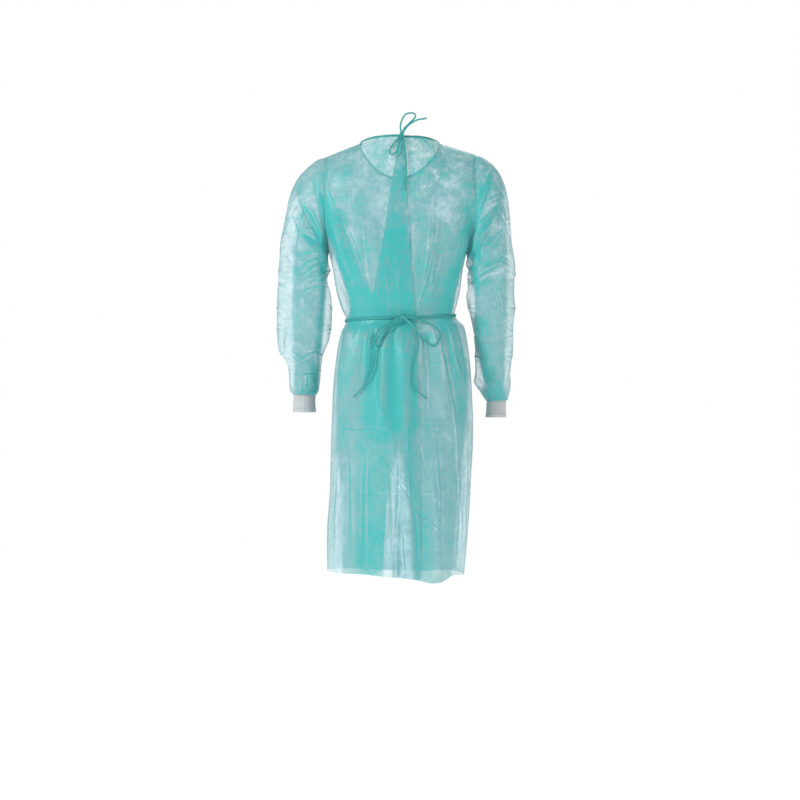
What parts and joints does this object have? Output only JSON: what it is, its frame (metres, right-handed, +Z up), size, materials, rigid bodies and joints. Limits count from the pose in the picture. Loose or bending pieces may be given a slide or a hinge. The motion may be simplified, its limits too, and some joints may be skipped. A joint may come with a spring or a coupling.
{
  "type": "isolation gown",
  "caption": "Worn knee-length isolation gown, open at the back and tied at the neck and waist, with long sleeves and ribbed knit cuffs.",
  "frame": {"origin": "middle of the body at the base of the neck, where the wearer's shoulders carry the gown", "axes": "+X to the wearer's right, +Y to the wearer's front, +Z up; the gown's back and its ties face -Y"},
  "size_m": [0.614, 0.3317, 1.1811],
  "materials": {
    "cloth": "thin, translucent spunbond nonwoven, faintly mottled, soft sheen on its folds",
    "binding": "the same nonwoven folded into narrow strips",
    "knit": "fine rib knit, matt"
  },
  "bodies": {
    "root": {"front": "cloth", "back_left": "cloth", "back_right": "cloth", "sleeve_left": "cloth", "sleeve_right": "cloth", "cuff_left": "knit", "cuff_right": "knit", "neck_binding": "binding", "neck_knot": "binding", "neck_loop_up": "binding", "neck_loop_down": "binding", "neck_end_up": "binding", "neck_end_down": "binding", "waist_belt": "binding", "waist_knot": "binding", "waist_loop_left": "binding", "waist_loop_right": "binding", "waist_end_left": "binding", "waist_end_right": "binding"}
  },
  "joints": []
}
